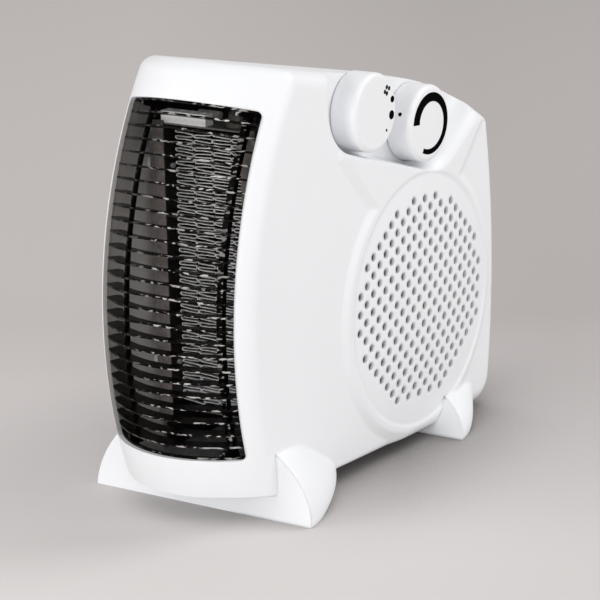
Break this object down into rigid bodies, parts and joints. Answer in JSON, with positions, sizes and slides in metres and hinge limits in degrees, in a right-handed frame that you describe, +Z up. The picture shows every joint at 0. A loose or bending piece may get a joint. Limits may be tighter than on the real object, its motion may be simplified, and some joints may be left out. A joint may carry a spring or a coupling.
{
  "type": "fan heater",
  "caption": "Upright white fan heater with a bowed black slatted outlet, round perforated side intake, switch and thermostat knobs in a scoop, and flared feet.",
  "frame": {"origin": "on the table under the middle of the heater's box", "axes": "+Z up, -Y the way the hot air leaves, +X the side with the intake and the knobs"},
  "size_m": [0.1232, 0.2438, 0.2115],
  "materials": {
    "casing": "smooth moulded white",
    "grille": "polished black",
    "knob": "smooth moulded white with black marks",
    "nylon": "natural",
    "phenolic": "dark moulded",
    "impeller": "dark moulded",
    "steel": "zinc plated",
    "brass": "turned",
    "rotor": "cast",
    "core": "varnished laminations",
    "copper": "enamelled winding",
    "mica": "pressed mica",
    "heating_alloy": "bright resistance strip",
    "ceramic": "unglazed",
    "rubber": "soft"
  },
  "bodies": {
    "casing": {"right_shell": "casing", "left_shell": "casing", "front_grille": "grille", "rotary_switch": "phenolic", "thermostat": "phenolic", "control_screws": "steel", "case_screws": "steel", "motor_core": "core", "coil_bobbin": "nylon", "motor_coil": "copper", "left_bearing_bridge": "steel", "right_bearing_bridge": "steel", "bearing_bushes": "brass", "motor_screws": "steel", "partition_plate": "nylon", "partition_screws": "steel", "left_side_board": "mica", "right_side_board": "mica", "cross_boards": "mica", "low_heat_ribbon": "heating_alloy", "high_heat_ribbon": "heating_alloy", "ceramic_strip": "ceramic", "thermal_cutout": "phenolic", "thermal_fuse": "steel", "cord_bush": "rubber", "cord_clamp": "nylon", "clamp_screws": "steel"},
    "switch_knob": {"switch_knob": "knob", "switch_spindle": "nylon"},
    "thermostat_knob": {"thermostat_knob": "knob", "thermostat_spindle": "brass"},
    "fan": {"impeller": "impeller", "impeller_nut": "brass", "motor_shaft": "steel", "motor_rotor": "rotor"}
  },
  "joints": [
    {"name": "switch_turn", "type": "hinge", "parent": "casing", "child": "switch_knob", "pos_m": [0.038, 0.00095, 0.1762], "axis": [1, 0, 0], "range_deg": [-60, 33]},
    {"name": "thermostat_turn", "type": "hinge", "parent": "casing", "child": "thermostat_knob", "pos_m": [0.038, 0.05075, 0.1618], "axis": [1, 0, 0], "range_deg": [0, 290]},
    {"name": "fan_spin", "type": "hinge", "parent": "casing", "child": "fan", "pos_m": [0, 0.04165, 0.0746], "axis": [1, 0, 0], "continuous": true}
  ]
}
